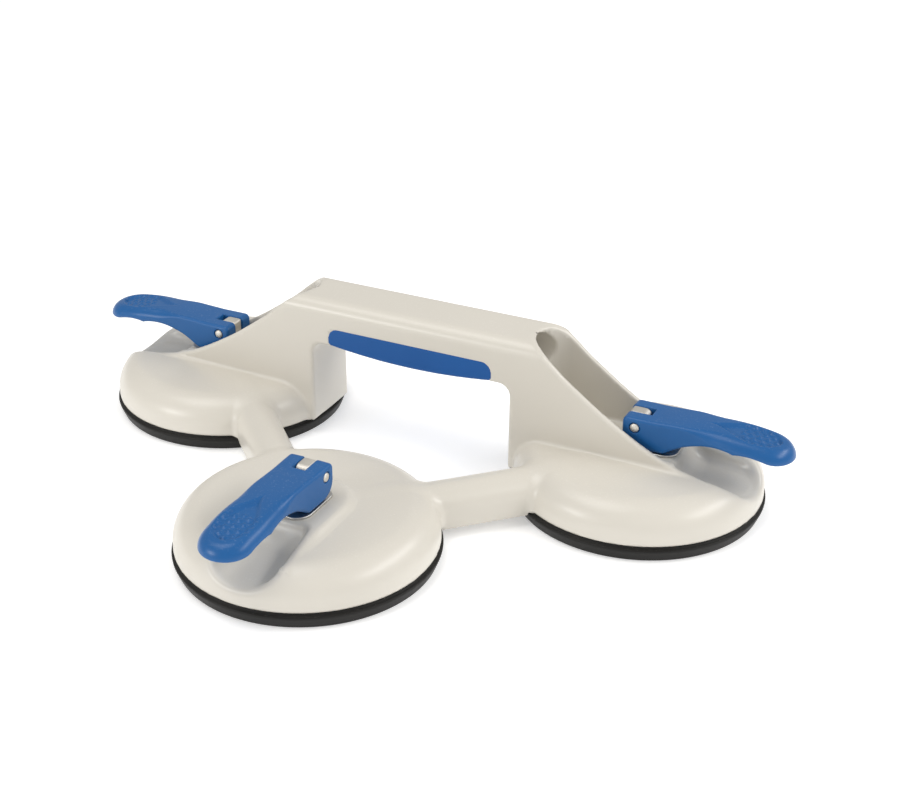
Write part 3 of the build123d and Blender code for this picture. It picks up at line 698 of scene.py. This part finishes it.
# Fine moulded or sprayed grain: the height for a Bump node, and a slow cloud for colour and gloss.
def grainGroup():
    group, start, end = newGroup(
        "surfaceGrain",
        [("Vector", "NodeSocketVector", (0, 0, 0)), ("Fine Size", "NodeSocketFloat", 2500.0),
         ("Cloud Size", "NodeSocketFloat", 18.0)],
        [("Height", "NodeSocketFloat"), ("Cloud", "NodeSocketFloat")],
    )
    fine = group.nodes.new("ShaderNodeTexNoise")
    fine.inputs["Detail"].default_value = 2.0
    group.links.new(start.outputs["Vector"], fine.inputs["Vector"])
    group.links.new(start.outputs["Fine Size"], fine.inputs["Scale"])
    cloud = group.nodes.new("ShaderNodeTexNoise")
    cloud.inputs["Detail"].default_value = 4.0
    group.links.new(start.outputs["Vector"], cloud.inputs["Vector"])
    group.links.new(start.outputs["Cloud Size"], cloud.inputs["Scale"])
    group.links.new(fine.outputs["Fac"], end.inputs["Height"])
    group.links.new(cloud.outputs["Fac"], end.inputs["Cloud"])
    return group


smudges = {"slowSize": 42.0, "slowRange": (0.5, 0.72), "fastSize": 160.0, "fastRange": (0.42, 0.7)}
dustLook = {"upRange": (0.55, 0.98), "speckSize": 900.0, "speckRange": (0.58, 0.74)}


# Light handling marks: faint smudges where two slow clouds meet, and thin dust on faces that look up.
def handlingGroup():
    group, start, end = newGroup(
        "handlingMarks",
        [("Vector", "NodeSocketVector", (0, 0, 0)), ("Amount", "NodeSocketFloat", 0.5)],
        [("Smudge", "NodeSocketFloat"), ("Dust", "NodeSocketFloat")],
    )
    tree = group
    slow = noiseNode(tree, start.outputs["Vector"], smudges["slowSize"], 5.0, 0.62)
    fast = noiseNode(tree, start.outputs["Vector"], smudges["fastSize"], 3.0, 0.6)
    slow = remap(tree, slow, *smudges["slowRange"])
    meet = mathNode(tree, "MULTIPLY", slow, remap(tree, fast, *smudges["fastRange"]))
    tree.links.new(mathNode(tree, "MULTIPLY", meet, start.outputs["Amount"]), end.inputs["Smudge"])
    geometry = tree.nodes.new("ShaderNodeNewGeometry")
    split = tree.nodes.new("ShaderNodeSeparateXYZ")
    tree.links.new(geometry.outputs["Normal"], split.inputs[0])
    upward = remap(tree, split.outputs["Z"], *dustLook["upRange"])
    specks = noiseNode(tree, start.outputs["Vector"], dustLook["speckSize"], 2.0, 0.7)
    specks = remap(tree, specks, *dustLook["speckRange"])
    dust = mathNode(tree, "MULTIPLY", upward, specks)
    tree.links.new(mathNode(tree, "MULTIPLY", dust, start.outputs["Amount"]), end.inputs["Dust"])
    return group


grain = grainGroup()
handling = handlingGroup()


# One colour fading into another by a factor.
def mixColour(tree, factor, first, second):
    node = tree.nodes.new("ShaderNodeMix")
    node.data_type = "RGBA"
    tree.links.new(factor, node.inputs["Factor"])
    for socket, value in (("A", first), ("B", second)):
        target = [s for s in node.inputs if s.name == socket and s.type == "RGBA"][0]
        if isinstance(value, tuple):
            target.default_value = (*value, 1.0)
        else:
            tree.links.new(value, target)
    return [s for s in node.outputs if s.type == "RGBA"][0]


# How the slow cloud drives tone and gloss, and how much a smudge adds to the roughness
drift = {"toneRange": (0.3, 0.7), "glossRange": (0.25, 0.75), "smudgeRoughness": 0.12}


# One finish: base colour drifting between two tones, gloss that follows the smudges, and fine grain.
def finishMaterial(name, f):
    material = bpy.data.materials.new(name)
    material.use_nodes = True
    tree = material.node_tree
    shader = tree.nodes["Principled BSDF"]
    where = tree.nodes.new("ShaderNodeTexCoord").outputs["Object"]
    if "stretch" in f:
        mapping = tree.nodes.new("ShaderNodeMapping")
        mapping.inputs["Scale"].default_value = f["stretch"]
        tree.links.new(where, mapping.inputs["Vector"])
        grainWhere = mapping.outputs["Vector"]
    else:
        grainWhere = where
    skin = tree.nodes.new("ShaderNodeGroup")
    skin.node_tree = grain
    skin.inputs["Fine Size"].default_value = f["grainSize"]
    skin.inputs["Cloud Size"].default_value = f["cloudSize"]
    tree.links.new(grainWhere, skin.inputs["Vector"])
    marks = tree.nodes.new("ShaderNodeGroup")
    marks.node_tree = handling
    marks.inputs["Amount"].default_value = f["marks"]
    tree.links.new(where, marks.inputs["Vector"])
    tone = mixColour(tree, remap(tree, skin.outputs["Cloud"], *drift["toneRange"]), f["dark"], f["light"])
    tone = mixColour(tree, marks.outputs["Dust"], tone, f["dust"])
    tree.links.new(tone, shader.inputs["Base Color"])
    rough = remap(tree, skin.outputs["Cloud"], *drift["glossRange"], *f["roughness"])
    smudged = mathNode(tree, "MULTIPLY", marks.outputs["Smudge"], drift["smudgeRoughness"])
    rough = mathNode(tree, "ADD", rough, smudged, clamp=True)
    tree.links.new(rough, shader.inputs["Roughness"])
    shader.inputs["Metallic"].default_value = f.get("metallic", 0.0)
    shader.inputs["Specular IOR Level"].default_value = f.get("specular", 0.5)
    bump = tree.nodes.new("ShaderNodeBump")
    bump.inputs["Strength"].default_value = f["bump"]
    bump.inputs["Distance"].default_value = f["bumpDepth"]
    tree.links.new(skin.outputs["Height"], bump.inputs["Height"])
    tree.links.new(bump.outputs["Normal"], shader.inputs["Normal"])
    return material


finishes = {
    "housing": {"light": (0.685, 0.652, 0.585), "dark": (0.660, 0.627, 0.560), "dust": (0.80, 0.77, 0.71),
                "roughness": (0.27, 0.35), "grainSize": 900.0, "cloudSize": 9.0, "marks": 0.35, "bump": 0.08,
                "bumpDepth": 0.0003},
    "lever_blue": {"specular": 0.32, "light": (0.0145, 0.112, 0.330), "dark": (0.012, 0.100, 0.300),
                   "dust": (0.20, 0.30, 0.50),
                   "roughness": (0.26, 0.36), "grainSize": 2200.0, "cloudSize": 22.0, "marks": 0.3,
                   "bump": 0.10, "bumpDepth": 0.0002},
    "grip_blue": {"specular": 0.3, "light": (0.0085, 0.095, 0.335), "dark": (0.007, 0.085, 0.305),
                  "dust": (0.18, 0.26, 0.45),
                  "roughness": (0.46, 0.58), "grainSize": 3200.0, "cloudSize": 26.0, "marks": 0.4,
                  "bump": 0.25, "bumpDepth": 0.0002},
    "rubber": {"specular": 0.25, "light": (0.012, 0.0112, 0.0100), "dark": (0.007, 0.0066, 0.0060),
               "dust": (0.06, 0.058, 0.054),
               "roughness": (0.42, 0.6), "grainSize": 2600.0, "cloudSize": 30.0, "marks": 0.6,
               "bump": 0.2, "bumpDepth": 0.0002},
    "stud_steel": {"light": (0.80, 0.77, 0.71), "dark": (0.68, 0.65, 0.60), "dust": (0.6, 0.6, 0.57),
                   "roughness": (0.46, 0.6), "grainSize": 700.0, "cloudSize": 60.0, "marks": 0.3,
                   "bump": 0.25, "bumpDepth": 0.0002, "metallic": 1.0, "stretch": (1, 1, 9)},
    "plate_steel": {"light": (0.62, 0.61, 0.59), "dark": (0.50, 0.49, 0.47), "dust": (0.6, 0.6, 0.57),
                    "roughness": (0.3, 0.42), "grainSize": 900.0, "cloudSize": 70.0, "marks": 0.3,
                    "bump": 0.2, "bumpDepth": 0.0002, "metallic": 1.0, "stretch": (6, 6, 1)},
}
materials = {name: finishMaterial(name, f) for name, f in finishes.items()}
print("finishes", len(materials))


# Gives a piece its finish and body, and hides the CAD nodes whose place it takes.
def dress(piece, slotName, body, *nodes):
    piece.data.materials.clear()
    piece.data.materials.append(materials[slotName])
    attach(piece, body)
    if nodes:
        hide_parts(*nodes)
    return piece


points, quads, normals = skinOf(housingShape, housing["gridLow"], housing["gridHigh"], housing["step"])
dress(meshPiece("housingBody", points, quads, normals), "housing", "frame", "main_frame")

low, high = ((x, handleLineY + y, z) for x, y, z in (insert["gridLow"], insert["gridHigh"]))
points, quads, normals = skinOf(insertShape, low, high, insert["step"])
dress(meshPiece("gripInsert", points, quads, normals), "grip_blue", "frame", "grip_insert")

leverSkin = skinOf(leverShape, lever["gridLow"], lever["gridHigh"], lever["step"])
leverSkin[0][:, 2] += pinHeight
studSkin = skinOf(studShape, stud["gridLow"], stud["gridHigh"], stud["step"])
plateSkin = skinOf(plateShape, plate["gridLow"], plate["gridHigh"], plate["step"])
for cup in cups:
    for name, skin, slotName, body, node in (
        ("lever", leverSkin, "lever_blue", f"lever_{cup}", f"lever_{cup}"),
        ("drawStud", studSkin, "stud_steel", f"stud_{cup}", f"draw_stud_{cup}"),
        ("wearPlate", plateSkin, "plate_steel", "frame", f"wear_plate_{cup}"),
    ):
        piece = meshPiece(f"{name}_{cup}", turnedTo(cup, skin[0]), skin[1], turnedNormals(cup, skin[2]))
        dress(piece, slotName, body, node)
    rim = turned(f"discRim_{cup}", cup, rimProfile(), disc["turns"], ring=True)
    dress(rim, "rubber", "frame", f"suction_disc_{cup}")
    middle = dress(turned(f"discMiddle_{cup}", cup, membraneProfile(), disc["turns"]), "rubber", "frame",
                   f"suction_disc_{cup}")
    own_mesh(middle)
    dress(pinPiece(f"crossPin_{cup}", cup), "stud_steel", f"lever_{cup}", f"lever_pin_{cup}")
    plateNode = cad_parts[f"pressure_plate_{cup}"]
    plateNode.data.materials.clear()
    plateNode.data.materials.append(materials["plate_steel"])
print("pieces dressed")

# Floor and light
stage = {"halfSize": 6.0, "colour": (0.9, 0.9, 0.9), "roughness": 0.7, "glow": 0.38}
lampTarget = (0.0, 0.02, 0.03)
world = {"colour": (1.0, 0.99, 0.97), "strength": 0.5}
lamps = {
    "topSoft": {"at": (-0.45, -0.35, 1.7), "size": (1.0, 1.0), "power": 9.8, "colour": (1.0, 0.985, 0.96)},
    "frontSoft": {"at": (-0.79, -1.16, 0.52), "size": (0.52, 0.26), "power": 5.0, "colour": (1.0, 0.995, 0.985)},
    "rightSoft": {"at": (1.116, 0.382, 0.882), "size": (1.5, 0.28), "power": 10.5, "colour": (1.0, 0.995, 0.99)},
}


# A pale floor, a soft sky and the area lamps, all turned to the middle of the object.
def buildStage():
    half = stage["halfSize"]
    mesh = bpy.data.meshes.new("floor")
    mesh.from_pydata([(-half, -half, 0), (half, -half, 0), (half, half, 0), (-half, half, 0)], [], [(0, 1, 2, 3)])
    floor = bpy.data.objects.new("floor", mesh)
    bpy.context.scene.collection.objects.link(floor)
    material = bpy.data.materials.new("paleFloor")
    material.use_nodes = True
    shader = material.node_tree.nodes["Principled BSDF"]
    shader.inputs["Base Color"].default_value = (*stage["colour"], 1.0)
    shader.inputs["Roughness"].default_value = stage["roughness"]
    shader.inputs["Emission Color"].default_value = (1.0, 1.0, 1.0, 1.0)
    shader.inputs["Emission Strength"].default_value = stage["glow"]
    mesh.materials.append(material)
    sky = bpy.data.worlds.new("studio")
    sky.use_nodes = True
    background = sky.node_tree.nodes["Background"]
    background.inputs["Color"].default_value = (*world["colour"], 1.0)
    background.inputs["Strength"].default_value = world["strength"]
    bpy.context.scene.world = sky
    target = Vector(lampTarget)
    for name, lamp in lamps.items():
        light = bpy.data.lights.new(name, "AREA")
        light.shape = "RECTANGLE"
        light.size, light.size_y = lamp["size"]
        light.energy = lamp["power"]
        light.color = lamp["colour"]
        lampObject = bpy.data.objects.new(name, light)
        lampObject.location = lamp["at"]
        lampObject.rotation_euler = (target - Vector(lamp["at"])).to_track_quat("-Z", "Y").to_euler()
        bpy.context.scene.collection.objects.link(lampObject)


# The camera of the photograph, from the outlines of the three equal cups
camera = {"fromHandle": (0.31349, -0.61469, 0.37917), "heading": 25.7105, "pitch": 27.3679, "roll": 0.5177,
          "lens": 59.738, "sensor": 36.0, "nearest": 0.01}


# The camera turned by its heading, tilt and roll, in that order.
def buildCamera():
    lens = bpy.data.cameras.new("photoView")
    lens.sensor_width = camera["sensor"]
    lens.lens = camera["lens"]
    lens.clip_start = camera["nearest"]
    view = bpy.data.objects.new("photoView", lens)
    turn = (
        Matrix.Rotation(math.radians(camera["heading"]), 4, "Z")
        @ Matrix.Rotation(math.radians(90 - camera["pitch"]), 4, "X")
        @ Matrix.Rotation(math.radians(camera["roll"]), 4, "Z")
    )
    place = Vector(camera["fromHandle"]) + Vector((0, handleLineY * mm, 0))
    view.matrix_world = Matrix.Translation(place) @ turn
    bpy.context.scene.collection.objects.link(view)
    bpy.context.scene.camera = view


buildStage()
buildCamera()
bpy.context.scene.view_settings.view_transform = "Standard"
print("stage and camera set")

bpy.context.view_layer.update()
